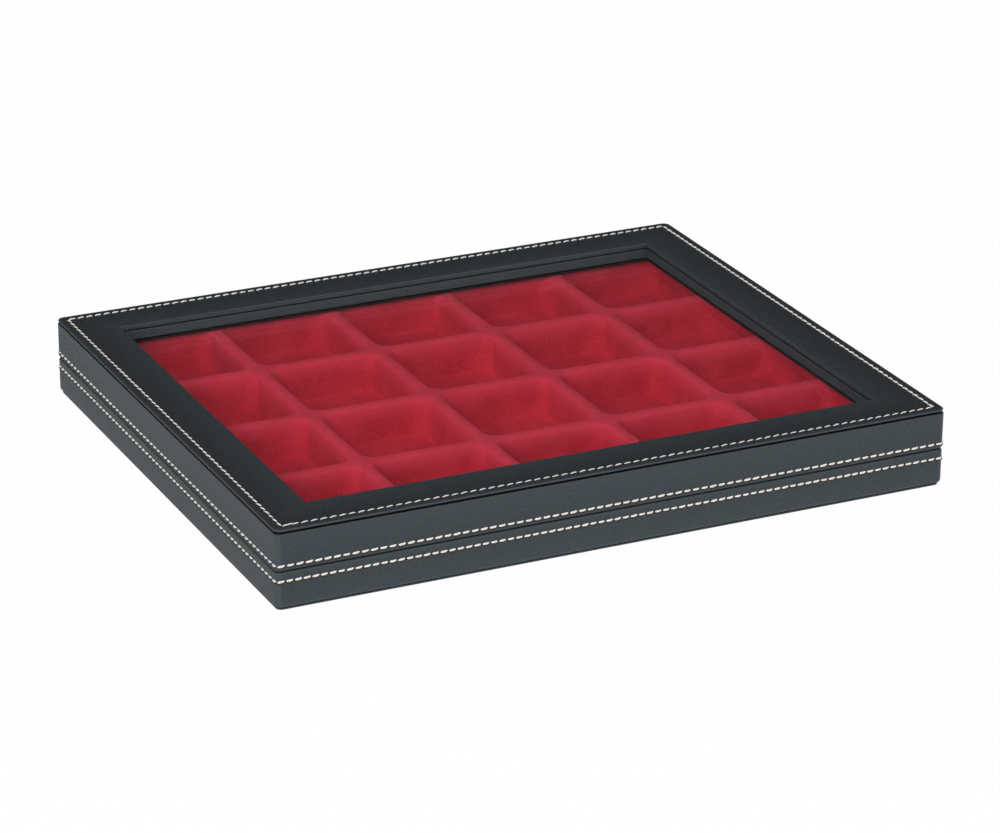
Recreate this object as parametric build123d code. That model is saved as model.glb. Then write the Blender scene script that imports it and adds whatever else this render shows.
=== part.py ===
from build123d import *
import math
import os

# Coin display case: a flat leatherette case in two halves, with a window in its lid and a flocked tray of square
# cells. X runs along the front, Y from front to back, Z up. The origin is the middle of the underside. All
# sizes are in millimetres.

# ---- Driving dimensions ----

# Coin tray, one formed sheet
cell_pitch = 60.6
cells_along = 5
cells_deep = 4
ridge_width = 6.4
cell_depth = 18.1
cell_draft = 7.0
cell_mouth_corner = 5.0
cell_floor_corner = 4.0
cell_floor_fillet = 2.5
ridge_fillet = 2.2
tray_sheet = 1.0
tray_end_rim = 3.2
tray_front_rim = 6.5
tray_corner = 4.0
tray_clearance = 0.5

# Walls, from the outside in
leatherette = 0.8
rail_thickness = 8.4
collar_thickness = 2.8
wall_corner = 1.8

# Base
base_height = 17.7
bottom_cover_thickness = 0.8
bottom_cover_inset = 2.0
bottom_cover_corner = 3.0
board_thickness = 3.0
board_rabbet = 4.4
bed_thickness = 2.9
bed_clearance = 0.3
underside_edge = 1.6
turn_under_gap = 0.1
collar_edge = 1.0

# Parting line between the base and the lid
parting_gap = 0.6
groove_edge = 1.2
collar_clearance = 0.6

# Lid
case_height = 37.5
top_frame_thickness = 1.6
top_frame_edge = 0.7
top_frame_corner = 2.2
crease_edge = 1.0
window_frame_width = 23.6
turn_over_width = 8.0
reveal_thickness = 1.2
reveal_edge = 0.5
reveal_gap = 0.3
pane_thickness = 2.0
pane_overlap = 6.0
pane_clearance = 0.2
pane_corner = 1.5
retainer_thickness = 1.3
retainer_setback = 0.8
retainer_edge = 0.5
retainer_gap = 0.3
lid_clearance = 0.5

# Magnets in the two front rails
magnet_radius = 3.0
magnet_height = 2.0
magnet_from_end = 60.0
magnet_clearance = 0.1

# Stop hinges
hinge_length = 34.0
hinge_from_end = 62.0
leaf_depth = 8.0
leaf_thickness = 1.0
leaf_clearance = 0.15
barrel_radius = 1.5
barrel_gap = 0.3
pin_radius = 0.7
pin_clearance = 0.05
pin_head_radius = 1.1
pin_head_length = 0.8
stop_reach = 3.0
stop_width_angle = 20.0
opening_angle = 100.0
screw_spacing = 22.0
screw_setback = 4.8
screw_head_radius = 1.6
screw_shank_radius = 0.8
screw_length = 7.0
screw_clearance = 0.05

# Room left between rounded wood and the leatherette bent round it
bend_ease = 0.1

# ---- Sizes that follow from them ----

cell_mouth = cell_pitch - ridge_width
tray_length = (cells_along - 1) * cell_pitch + cell_mouth + 2 * tray_end_rim
tray_width = (cells_deep - 1) * cell_pitch + cell_mouth + 2 * tray_front_rim

# Distances inward from the outside of the case
rail_inner = leatherette + rail_thickness
collar_inner = rail_inner + collar_thickness
lid_wall_inner = rail_inner - collar_clearance
board_edge = rail_inner - board_rabbet
reveal_back = window_frame_width - reveal_thickness
pane_edge = window_frame_width - pane_overlap

case_length = tray_length + 2 * (tray_clearance + collar_inner)
case_width = tray_width + 2 * (tray_clearance + collar_inner)

# Heights above the underside
board_top = bottom_cover_thickness + board_thickness
bed_top = board_top + bed_thickness
cell_floor_top = bed_top + tray_sheet
tray_top = cell_floor_top + cell_depth
lid_bottom = base_height + parting_gap
retainer_bottom = tray_top + lid_clearance
pane_bottom = retainer_bottom + retainer_thickness
pane_top = pane_bottom + pane_thickness
top_frame_bottom = case_height - top_frame_thickness
reveal_bottom = pane_top + reveal_gap
reveal_top = top_frame_bottom - reveal_gap

# The hinges turn about the back face, half way up the parting gap
axis_y = case_width / 2
axis_z = base_height + parting_gap / 2
hinge_x = case_length / 2 - hinge_from_end
magnet_x = case_length / 2 - magnet_from_end

SIDES = ("front", "back", "left", "right")
ENDS = {"left": -1, "right": 1}


# ---- Helpers ----


def slab(inset, low, high, corner=0.0):
    """A flat block over the plan of the case, drawn in by inset on every side."""
    length = case_length - 2 * inset
    width = case_width - 2 * inset
    outline = RectangleRounded(length, width, corner) if corner > 0 else Rectangle(length, width)
    return extrude(Plane.XY.offset(low) * outline, high - low)


def rounded_slab(inset, low, high, corner, low_edge, high_edge):
    """A slab with rounded upright corners, and its lower and upper edges rounded."""
    body = slab(inset, low, high, corner)
    body = fillet(body.edges().group_by(Axis.Z)[-1], min(high_edge, 0.9 * corner))
    return fillet(body.edges().group_by(Axis.Z)[0], min(low_edge, 0.9 * corner))


def side_region(side, low, high):
    """The quarter of the plan that belongs to one side, cut at 45 degrees at the corners."""
    far_x = case_length / 2
    far_y = case_width / 2
    reach = min(far_x, far_y) - 1
    long_side = [(-far_x, -far_y), (far_x, -far_y), (far_x - reach, -far_y + reach), (-far_x + reach, -far_y + reach)]
    short_side = [(-far_x, -far_y), (-far_x + reach, -far_y + reach), (-far_x + reach, far_y - reach), (-far_x, far_y)]
    points = long_side if side in ("front", "back") else short_side
    sign = 1 if side in ("front", "left") else -1
    outline = make_face(Polyline(*[(sign * x, sign * y) for x, y in points], close=True))
    return extrude(Plane.XY.offset(low) * outline, high - low)


def strips(ring, low, high):
    """Cuts a ring into its four mitred sides."""
    return {side: ring & side_region(side, low, high) for side in SIDES}


def round_long_edges(strip, side, height, inward, radius):
    """Rounds the edge of a mitred strip that runs along it at a given height and distance inward."""
    along = Axis.X if side in ("front", "back") else Axis.Y
    across = Axis.Y if side in ("front", "back") else Axis.X
    half = (case_width if across == Axis.Y else case_length) / 2
    place = half - inward

    def matches(edge):
        middle = edge.center()
        offset = middle.Y if across == Axis.Y else middle.X
        return abs(middle.Z - height) < 0.01 and abs(abs(offset) - place) < 0.01

    edges = [edge for edge in strip.edges().filter_by(along) if matches(edge)]
    return fillet(edges, radius)


def lying_cylinder(radius, x_low, x_high):
    """A cylinder on the hinge axis, between two places along X."""
    plane = Plane(origin=(x_low, axis_y, axis_z), x_dir=(0, 1, 0), z_dir=(1, 0, 0))
    return extrude(plane * Circle(radius), x_high - x_low)


# ---- Base ----


def base_core(ease):
    """The space inside the base's leatherette, which the rails and the board fill."""
    low = bottom_cover_thickness + leatherette
    high = base_height - leatherette
    corner = wall_corner - leatherette + ease
    low_edge = underside_edge - leatherette + ease
    high_edge = groove_edge - leatherette + ease
    return rounded_slab(leatherette, low, high, corner, low_edge, high_edge)


def make_base_rails():
    low = bottom_cover_thickness + leatherette
    ring = base_core(bend_ease) - slab(rail_inner, low, base_height) - slab(board_edge, low, board_top)
    rails = strips(ring, low, base_height)
    rails["back"] = rails["back"] - hinge_pockets() - hinge_screw_solids("base", screw_clearance)
    rails["front"] = rails["front"] - magnet_solids("base", magnet_clearance)
    return {f"base_rail_{side}": rail for side, rail in rails.items()}


def make_base_board():
    inset = board_edge + turn_under_gap
    return slab(inset, bottom_cover_thickness, board_top)


def make_base_side_wrap():
    """Leatherette glued round the rails, turned in over the rim and turned under at the bottom."""
    low = bottom_cover_thickness
    outside = rounded_slab(0, low, base_height, wall_corner, underside_edge, groove_edge)
    rim_opening = slab(rail_inner, low, base_height)
    turned_under = slab(board_edge, low, low + leatherette)
    return outside - base_core(0) - rim_opening - turned_under - hinge_pockets()


def make_base_bottom_cover():
    cover = slab(bottom_cover_inset, 0, bottom_cover_thickness, bottom_cover_corner)
    return fillet(cover.edges().group_by(Axis.Z)[0], bottom_cover_thickness / 2)


def make_collar_strips():
    """Velour-covered strips inside the rails, as high as the tray, that locate the lid."""
    ring = slab(rail_inner, board_top, tray_top) - slab(collar_inner, board_top, tray_top)
    collars = {}
    for side, strip in strips(ring, board_top, tray_top).items():
        strip = round_long_edges(strip, side, tray_top, rail_inner, collar_edge)
        collars[f"collar_{side}"] = round_long_edges(strip, side, tray_top, collar_inner, collar_edge)
    return collars


def make_tray_bed():
    return slab(collar_inner + bed_clearance, board_top, bed_top)


# ---- Coin tray ----


def cell_space(wall, low, high):
    """The tapered space of one cell, grown by a wall thickness, between two heights."""
    draft = math.tan(math.radians(cell_draft))

    def outline(height):
        size = cell_mouth + 2 * wall - 2 * (tray_top - height) * draft
        share = (tray_top - height) / cell_depth
        corner = cell_mouth_corner + (cell_floor_corner - cell_mouth_corner) * share + wall
        return Plane.XY.offset(height) * RectangleRounded(size, size, corner)

    return loft([outline(low), outline(high)], ruled=True)


def cell_cutter():
    """One cell with its rounded floor edge and the rounded lip where it meets the ridges."""
    space = cell_space(0, cell_floor_top, tray_top)
    space = fillet(space.edges().group_by(Axis.Z)[0], cell_floor_fillet)
    middle = (cell_floor_top + tray_top) / 2
    block = Pos(0, 0, middle) * Box(cell_pitch, cell_pitch, cell_depth)
    surround = block - space
    lip = surround.faces().sort_by(Axis.Z)[-1].inner_wires()[0].edges()
    surround = fillet(lip, min(ridge_fillet, 0.45 * ridge_width))
    return block - surround


def cell_places():
    """The middle of each cell."""
    return [Location(point) for point in cell_centres()]


def cell_centres():
    first_x = -(cells_along - 1) * cell_pitch / 2
    first_y = -(cells_deep - 1) * cell_pitch / 2
    return [
        (first_x + column * cell_pitch, first_y + row * cell_pitch, 0)
        for row in range(cells_deep)
        for column in range(cells_along)
    ]


def tray_block(wall, low, high):
    outline = RectangleRounded(tray_length - 2 * wall, tray_width - 2 * wall, tray_corner - wall)
    return extrude(Plane.XY.offset(low) * outline, high - low)


def make_coin_tray():
    """A thin formed sheet: cells pressed down between rounded ridges, hollow under them, and a skirt round the edge."""
    outside = tray_block(0, bed_top, tray_top)
    outside = fillet(outside.edges().group_by(Axis.Z)[-1], min(ridge_fillet, 0.9 * tray_corner))
    cell = cell_cutter()
    cup = cell_space(tray_sheet, bed_top, tray_top - tray_sheet)
    underneath = tray_block(tray_sheet, bed_top, tray_top - tray_sheet) - [place * cup for place in cell_places()]
    return outside - underneath - [place * cell for place in cell_places()]


# ---- Lid ----


def lid_core(ease):
    """The space inside the lid's leatherette, below the top frame."""
    low = lid_bottom + leatherette
    high = top_frame_bottom - leatherette
    corner = wall_corner - leatherette + ease
    low_edge = groove_edge - leatherette + ease
    high_edge = crease_edge - leatherette + ease
    return rounded_slab(leatherette, low, high, corner, low_edge, high_edge)


def make_lid_rails():
    """A mitred frame: a wall that goes down over the collar, and a ledge that the pane is held up against."""
    low = lid_bottom + leatherette
    ring = lid_core(bend_ease) + slab(turn_over_width, pane_top, top_frame_bottom)
    ring = ring - slab(lid_wall_inner - leatherette, low, pane_bottom)
    ring = ring - slab(pane_edge - pane_clearance, low, pane_top)
    ring = ring - slab(reveal_back, low, top_frame_bottom)
    rails = strips(ring, low, top_frame_bottom)
    rails["back"] = rails["back"] - hinge_pockets() - hinge_screw_solids("lid", screw_clearance)
    rails["front"] = rails["front"] - magnet_solids("lid", magnet_clearance)
    return {f"lid_rail_{side}": rail for side, rail in rails.items()}


def make_lid_side_wrap():
    """Leatherette round the lid's rails, turned over the top under the frame, and up the inside of the wall."""
    outside = rounded_slab(0, lid_bottom, top_frame_bottom, wall_corner, groove_edge, crease_edge)
    wall_inside = lid_wall_inner - leatherette
    core = lid_core(0) - (slab(wall_inside, lid_bottom, pane_bottom) - slab(lid_wall_inner, lid_bottom, pane_bottom))
    mouth = slab(lid_wall_inner, lid_bottom, pane_bottom)
    turned_over = slab(turn_over_width, pane_bottom, top_frame_bottom)
    return outside - core - mouth - turned_over - hinge_pockets()


def make_lid_top_frame():
    """The stitched frame on top: leatherette over a thin board, with rounded edges."""
    frame = rounded_slab(0, top_frame_bottom, case_height, top_frame_corner, top_frame_edge, top_frame_edge)
    frame = frame - slab(window_frame_width, top_frame_bottom, case_height)
    window_edges = frame.faces().sort_by(Axis.Z)[-1].inner_wires()[0].edges()
    return fillet(window_edges, top_frame_edge)


def make_reveal_strips():
    """Covered strips that line the window opening between the top frame and the pane."""
    ring = slab(reveal_back, reveal_bottom, reveal_top) - slab(window_frame_width, reveal_bottom, reveal_top)
    reveals = {}
    for side, strip in strips(ring, reveal_bottom, reveal_top).items():
        strip = round_long_edges(strip, side, reveal_top, window_frame_width, reveal_edge)
        reveals[f"reveal_strip_{side}"] = round_long_edges(strip, side, reveal_bottom, window_frame_width, reveal_edge)
    return reveals


def make_window_pane():
    return slab(pane_edge, pane_bottom, pane_top, pane_corner)


def make_pane_retainers():
    """Velour-covered strips glued under the rails, which hold the pane and line the inside of the lid."""
    outer = lid_wall_inner + retainer_gap
    inner = window_frame_width - retainer_setback
    ring = slab(outer, retainer_bottom, pane_bottom) - slab(inner, retainer_bottom, pane_bottom)
    retainers = {}
    for side, strip in strips(ring, retainer_bottom, pane_bottom).items():
        retainers[f"pane_retainer_{side}"] = round_long_edges(strip, side, retainer_bottom, inner, retainer_edge)
    return retainers


# ---- Magnets ----


def magnet_solids(half, clearance):
    """The two discs of one half, flush under the leatherette of its rim; with a clearance, their pockets."""
    radius = magnet_radius + clearance
    height = magnet_height + clearance
    low = base_height - leatherette - height if half == "base" else lid_bottom + leatherette
    lid_wall = lid_wall_inner - 2 * leatherette
    y = -case_width / 2 + leatherette + lid_wall / 2
    disc = extrude(Plane.XY.offset(low) * Circle(radius), height)
    return [Pos(end * magnet_x, y, 0) * disc for end in ENDS.values()]


# ---- Hinges ----


def knuckle_spans():
    """Where the barrel is cut into three knuckles, measured from the middle of the hinge."""
    half = hinge_length / 2
    middle = hinge_length / 6
    return {
        "base": [(-half, -middle - barrel_gap / 2), (middle + barrel_gap / 2, half)],
        "lid": [(-middle + barrel_gap / 2, middle - barrel_gap / 2)],
    }


def hinge_pockets():
    """Room for the barrels and the let-in leaves of both hinges, in the rails and the leatherette."""
    half = hinge_length / 2 + leaf_clearance
    depth = leaf_depth + leaf_clearance
    height = parting_gap + 2 * leaf_thickness
    ends = pin_head_length + leaf_clearance
    leaf_room = Pos(0, axis_y - depth / 2, axis_z) * Box(2 * half, depth, height)
    barrel_room = lying_cylinder(barrel_radius + barrel_gap, -half - ends, half + ends)
    room = leaf_room + barrel_room
    return [Pos(end * hinge_x, 0, 0) * room for end in ENDS.values()]


def stop_lug(half, inner_radius, x_low, x_high):
    """A wedge along the back of the barrel. The two halves' wedges meet when the lid is fully open."""
    gap_angle = math.degrees(barrel_gap / (barrel_radius + barrel_gap))
    near = (opening_angle + gap_angle) / 2
    angles = (near, near + stop_width_angle)
    sign = 1 if half == "lid" else -1
    corners = [(inner_radius, angles[0]), (stop_reach, angles[0]), (stop_reach, angles[1]), (inner_radius, angles[1])]
    points = [
        (radius * math.cos(math.radians(angle)), sign * radius * math.sin(math.radians(angle)))
        for radius, angle in corners
    ]
    plane = Plane(origin=(x_low, axis_y, axis_z), x_dir=(0, 1, 0), z_dir=(1, 0, 0))
    return extrude(plane * make_face(Polyline(*points, close=True)), x_high - x_low)


def make_leaf(half):
    """One leaf of a hinge, centred on X = 0: a let-in plate, its knuckles and its part of the stop."""
    sign = 1 if half == "lid" else -1
    half_length = hinge_length / 2
    plate_z = axis_z + sign * (parting_gap / 2 + leaf_thickness / 2)
    plate = Pos(0, axis_y - leaf_depth / 2, plate_z) * Box(hinge_length, leaf_depth, leaf_thickness)
    plate = plate - lying_cylinder(barrel_radius + barrel_gap, -half_length, half_length)
    leaf = plate
    for x_low, x_high in knuckle_spans()[half]:
        leaf = leaf + lying_cylinder(barrel_radius, x_low, x_high)
        web_depth = barrel_radius + barrel_gap
        web_x = (x_low + x_high) / 2
        web = Pos(web_x, axis_y - web_depth, plate_z) * Box(x_high - x_low, web_depth, leaf_thickness)
        leaf = leaf + web + stop_lug(half, barrel_radius - pin_radius / 2, x_low, x_high)
    if half == "base":
        leaf = leaf + stop_lug(half, barrel_radius + barrel_gap, -half_length, half_length)
    leaf = leaf - lying_cylinder(pin_radius + pin_clearance, -half_length, half_length)
    return leaf - [Pos(x, 0, 0) * screw(half, screw_clearance) for x in screw_places()]


def make_leaves():
    leaves = {}
    for half in ("base", "lid"):
        leaf = make_leaf(half)
        for name, end in ENDS.items():
            leaves[f"hinge_{name}_{half}_leaf"] = Pos(end * hinge_x, 0, 0) * leaf
    return leaves


def make_pins():
    """Plain pins with a small head at each end of the barrel."""
    half = hinge_length / 2 + pin_clearance
    pin = lying_cylinder(pin_radius, -half, half)
    pin = pin + lying_cylinder(pin_head_radius, -half - pin_head_length, -half)
    pin = pin + lying_cylinder(pin_head_radius, half, half + pin_head_length)
    return {f"hinge_{name}_pin": Pos(end * hinge_x, 0, 0) * pin for name, end in ENDS.items()}


def screw_places():
    return (-screw_spacing / 2, screw_spacing / 2)


def screw(half, clearance):
    """A countersunk screw through a leaf, centred on X = 0; with a clearance, the hole for it."""
    sign = 1 if half == "lid" else -1
    face = axis_z + sign * parting_gap / 2
    head = screw_head_radius + clearance
    shank = screw_shank_radius + clearance
    cone = head - shank
    tip = screw_length + clearance
    outline = [(0, 0), (head, 0), (shank, cone), (shank, tip - shank), (0, tip)]
    plane = Plane(origin=(0, axis_y - screw_setback, face), x_dir=(1, 0, 0), z_dir=(0, -sign, 0))
    profile = plane * make_face(Polyline(*outline, close=True))
    return revolve(profile, Axis((0, axis_y - screw_setback, face), (0, 0, 1)))


def hinge_screw_solids(half, clearance):
    return [
        Pos(end * hinge_x + x, 0, 0) * screw(half, clearance)
        for end in ENDS.values()
        for x in screw_places()
    ]


# ---- Write one STEP for each piece ----


def all_pieces():
    pieces = {}
    pieces.update(make_base_rails())
    pieces["base_board"] = make_base_board()
    pieces["base_side_wrap"] = make_base_side_wrap()
    pieces["base_bottom_cover"] = make_base_bottom_cover()
    pieces.update(make_collar_strips())
    pieces["tray_bed"] = make_tray_bed()
    pieces["coin_tray"] = make_coin_tray()
    pieces.update(make_lid_rails())
    pieces["lid_side_wrap"] = make_lid_side_wrap()
    pieces["lid_top_frame"] = make_lid_top_frame()
    pieces.update(make_reveal_strips())
    pieces["window_pane"] = make_window_pane()
    pieces.update(make_pane_retainers())
    for half in ("base", "lid"):
        for name, disc in zip(ENDS, magnet_solids(half, 0)):
            pieces[f"{half}_magnet_{name}"] = disc
        pieces[f"hinge_{half}_screws"] = Compound(children=hinge_screw_solids(half, 0))
    pieces.update(make_leaves())
    pieces.update(make_pins())
    return pieces


os.makedirs("parts", exist_ok=True)
for name, piece in all_pieces().items():
    export_step(piece, f"parts/{name}.step")
print("case", round(case_length, 2), "x", round(case_width, 2), "x", case_height)
print("tray", round(tray_length, 2), "x", round(tray_width, 2), "ridges at", round(tray_top, 2))
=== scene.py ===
# %% [markdown]
# # A leatherette display case with a window lid and a flocked tray
#
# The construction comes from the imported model: every wooden rail, hinge leaf and strip has its place there. This
# script dresses it. Pieces whose shape is right keep their mesh and get a real material. The leatherette, the
# tray and the thread are made again here, because their soft edges need more roundness than the solids carry.

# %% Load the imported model
import math

import bmesh
import bpy
from mathutils import Matrix, Vector


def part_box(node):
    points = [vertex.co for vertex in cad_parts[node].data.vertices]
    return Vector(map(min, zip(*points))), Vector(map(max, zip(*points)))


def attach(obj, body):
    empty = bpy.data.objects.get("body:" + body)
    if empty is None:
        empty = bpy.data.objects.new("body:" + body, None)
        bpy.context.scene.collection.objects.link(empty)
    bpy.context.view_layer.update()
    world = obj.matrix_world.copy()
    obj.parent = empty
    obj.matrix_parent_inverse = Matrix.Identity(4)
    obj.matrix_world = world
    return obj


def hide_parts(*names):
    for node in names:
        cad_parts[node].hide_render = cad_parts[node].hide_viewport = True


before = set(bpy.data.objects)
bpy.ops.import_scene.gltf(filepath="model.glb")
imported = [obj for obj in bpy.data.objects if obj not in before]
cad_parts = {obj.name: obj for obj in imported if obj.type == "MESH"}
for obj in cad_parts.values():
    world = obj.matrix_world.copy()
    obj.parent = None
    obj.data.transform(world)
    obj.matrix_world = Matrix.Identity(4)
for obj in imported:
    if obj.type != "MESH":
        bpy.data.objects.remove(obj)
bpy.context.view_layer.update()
MM = 0.001

# %% [markdown]
# ## The camera
#
# The photograph was taken with a long lens from the front left, a little above the lid. A long lens far away keeps
# the case's edges almost parallel, so the place and the lens have to be found together. These values were worked
# out from the case's corners and the tray's ridges, and are written as a real place, three turns and a real lens.

# %% Camera
CAMERA_PLACE = Vector((-0.7489, -1.5838, 0.7352))
CAMERA_TURN = math.radians(-25.472)
CAMERA_TILT = math.radians(67.520)
CAMERA_ROLL = math.radians(0.401)
CAMERA_LENS = 146.01

camera_data = bpy.data.cameras.new("photo_camera")
camera_data.lens = CAMERA_LENS
camera_data.sensor_width = 36
camera_data.clip_end = 50
camera = bpy.data.objects.new("photo_camera", camera_data)
bpy.context.scene.collection.objects.link(camera)
turn = Matrix.Rotation(CAMERA_TURN, 4, "Z") @ Matrix.Rotation(CAMERA_TILT, 4, "X")
camera.matrix_world = Matrix.Translation(CAMERA_PLACE) @ turn @ Matrix.Rotation(CAMERA_ROLL, 4, "Z")
bpy.context.scene.camera = camera
print("camera is", round((CAMERA_PLACE - Vector((0, 0, 0.02))).length, 2), "m from the case")

# %% [markdown]
# ## Sizes
#
# Nothing here is measured twice: the outside of each piece is read from the solid that it dresses.

# %% Sizes read from the solids
low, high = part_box("lid_top_frame")
HALF_X = (high[0] - low[0]) / 2
HALF_Y = (high[1] - low[1]) / 2
FRAME_LOW = low[2]
FRAME_TOP = high[2]
WRAP_LID_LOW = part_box("lid_side_wrap")[0][2]
WRAP_BASE_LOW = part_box("base_side_wrap")[0][2]
WRAP_BASE_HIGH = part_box("base_side_wrap")[1][2]
PANE_LOW, PANE_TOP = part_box("window_pane")[0][2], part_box("window_pane")[1][2]
REVEAL_LOW, REVEAL_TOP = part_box("reveal_strip_front")[0][2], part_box("reveal_strip_front")[1][2]
WINDOW_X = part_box("reveal_strip_right")[0][0]
WINDOW_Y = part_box("reveal_strip_back")[0][1]
REVEAL_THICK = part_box("reveal_strip_right")[1][0] - WINDOW_X
TRAY_LOW, TRAY_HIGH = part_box("coin_tray")
TRAY_TOP = TRAY_HIGH[2]
COLLAR_OUT = HALF_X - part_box("collar_right")[1][0]
FRAME_WIDTH = HALF_X - WINDOW_X
LEATHERETTE = 0.8 * MM
print("case", round(2 * HALF_X / MM, 1), "x", round(2 * HALF_Y / MM, 1), "mm, frame", round(FRAME_WIDTH / MM, 1), "mm wide")

# %% [markdown]
# ## Materials
#
# Each material starts from what the real one is. Colours are written as hex values, as a colour picker shows them,
# and one function turns them into the linear values that the shader works in. A second small function adds a node.

# %% Material helpers


def linear(hex_colour):
    """An sRGB hex colour as the linear RGBA that shaders use."""
    channels = [int(hex_colour[place : place + 2], 16) / 255 for place in (1, 3, 5)]
    return [c / 12.92 if c <= 0.04045 else ((c + 0.055) / 1.055) ** 2.4 for c in channels] + [1]


def add(tree, kind, settings=None, **inputs):
    """Adds a node, sets its properties, and fills or links its inputs by name."""
    node = tree.nodes.new(kind)
    for name, value in (settings or {}).items():
        setattr(node, name, value)
    for name, value in inputs.items():
        socket = node.inputs[int(name[1:])] if name[0] == "_" else node.inputs[name.replace("_", " ")]
        if isinstance(value, bpy.types.NodeSocket):
            tree.links.new(value, socket)
        else:
            socket.default_value = value
    return node


def new_material(name):
    material = bpy.data.materials.new(name)
    material.use_nodes = True
    material.node_tree.nodes.clear()
    return material, material.node_tree


def finish_material(tree, shader, bump=None):
    if bump is not None:
        tree.links.new(bump, shader.inputs["Normal"])
    output = tree.nodes.new("ShaderNodeOutputMaterial")
    tree.links.new(shader.outputs[0], output.inputs["Surface"])


def two_tone(tree, factor, first, second, start=0.0, end=1.0):
    """A colour that runs from one hex value to another while a factor goes from start to end."""
    ramp = add(tree, "ShaderNodeValToRGB", _0=factor)
    ramp.color_ramp.elements[0].position = start
    ramp.color_ramp.elements[1].position = end
    ramp.color_ramp.elements[0].color = linear(first)
    ramp.color_ramp.elements[1].color = linear(second)
    return ramp.outputs["Color"]


# %% [markdown]
# ### Leatherette
#
# Polyurethane-coated fabric, embossed between rollers with a fine pebble grain of about a millimetre. The grain is
# a cell pattern: each pebble is one cell, and the creases between them are the cell borders. Its colour is painted
# darker into the creases and paler on the domes, as painted shade and highlight of the grain. The coat is satin,
# so it has a low, wide highlight. A slow, faint unevenness stands for the card and wood under the thin sheet. Where
# the sheet is pulled round an edge, it is a little glossier from stretching and handling, and its colour is painted
# paler there, a painted highlight on the bend along with that wear. Deep in a seam the colour is painted nearly
# black, as painted shade. The meshes carry that as an attribute named edge: 1 on a bend, 0 on a flat and -1 in a
# seam.

# %% Leatherette
GRAIN_MM = 1.4
UNEVEN_MM = 22


def make_leatherette():
    material, tree = new_material("black_pu_leatherette")
    place = add(tree, "ShaderNodeTexCoord").outputs["Object"]
    wander = add(tree, "ShaderNodeTexNoise", Vector=place, Scale=1 / (2.2 * MM), Detail=2.0)
    pull = add(tree, "ShaderNodeVectorMath", {"operation": "SCALE"}, _0=wander.outputs["Color"], Scale=0.9 * MM)
    bent = add(tree, "ShaderNodeVectorMath", {"operation": "ADD"}, _0=place, _1=pull.outputs["Vector"])
    pebbles = add(
        tree, "ShaderNodeTexVoronoi", {"feature": "DISTANCE_TO_EDGE"}, Vector=bent.outputs["Vector"],
        Scale=1 / (GRAIN_MM * MM),
    )
    domes = add(tree, "ShaderNodeMapRange", {"interpolation_type": "SMOOTHSTEP"}, Value=pebbles.outputs["Distance"])
    domes.inputs["From Max"].default_value = 0.28
    pores = add(tree, "ShaderNodeTexNoise", Vector=place, Scale=1 / (0.35 * MM), Detail=2.0)
    grain = add(tree, "ShaderNodeBump", Height=domes.outputs[0], Strength=0.9, Distance=0.16 * MM)
    fine = add(tree, "ShaderNodeBump", Height=pores.outputs["Fac"], Strength=0.2, Distance=0.03 * MM)
    tree.links.new(grain.outputs["Normal"], fine.inputs["Normal"])
    waves = add(tree, "ShaderNodeTexNoise", Vector=place, Scale=1 / (UNEVEN_MM * MM), Detail=1.0)
    swell = add(tree, "ShaderNodeBump", Height=waves.outputs["Fac"], Strength=0.35, Distance=0.25 * MM)
    tree.links.new(fine.outputs["Normal"], swell.inputs["Normal"])
    # Painted shade and highlight of the grain: the colour runs dark in the pebble creases to pale on the domes.
    colour = two_tone(tree, domes.outputs[0], "#0f1316", "#30373b")
    # Painted highlight and painted shade: bends are painted paler, partly for their wear, and seams nearly black.
    bend_and_seam = add(tree, "ShaderNodeAttribute", {"attribute_name": "edge"}).outputs["Fac"]
    pale_bend_highlight = add(tree, "ShaderNodeMix", {"data_type": "RGBA"}, _0=bend_and_seam, _6=colour, _7=linear("#3f464a"))
    seam_shade = add(tree, "ShaderNodeMath", {"operation": "MULTIPLY"}, _0=bend_and_seam, _1=-1.6)
    seam_shaded_colour = add(tree, "ShaderNodeMix", {"data_type": "RGBA"}, _0=seam_shade.outputs[0], _6=pale_bend_highlight.outputs[2], _7=linear("#08090a"))

    shine = add(tree, "ShaderNodeMapRange", Value=pores.outputs["Fac"])
    shine.inputs["To Min"].default_value = 0.54
    shine.inputs["To Max"].default_value = 0.68
    gloss_on_bends_light_on_ridges = add(tree, "ShaderNodeMath", {"operation": "MULTIPLY_ADD"}, _0=bend_and_seam, _1=-0.05, _2=shine.outputs[0])
    shader = add(tree, "ShaderNodeBsdfPrincipled", Base_Color=seam_shaded_colour.outputs[2], Roughness=gloss_on_bends_light_on_ridges.outputs[0], IOR=1.5)
    shader.inputs["Specular IOR Level"].default_value = 0.46
    shader.inputs["Specular Tint"].default_value = linear("#e6eff5")
    finish_material(tree, shader, swell.outputs["Normal"])
    return material


leatherette = make_leatherette()

# %% [markdown]
# ### Flocked plastic
#
# The tray is a thin plastic sheet with short rayon fibres shot onto its glue. Flock scatters light in every
# direction and its fibre tips catch a soft rim of light, so the shader is fully rough with some sheen. Pressed and
# brushed patches of the pile are a shade darker. The ridges are painted paler towards their tops: a painted
# highlight for the light that their tops catch and the deep floors miss, along with the rubbing of fingers and coins.

# %% Red flock


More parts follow.
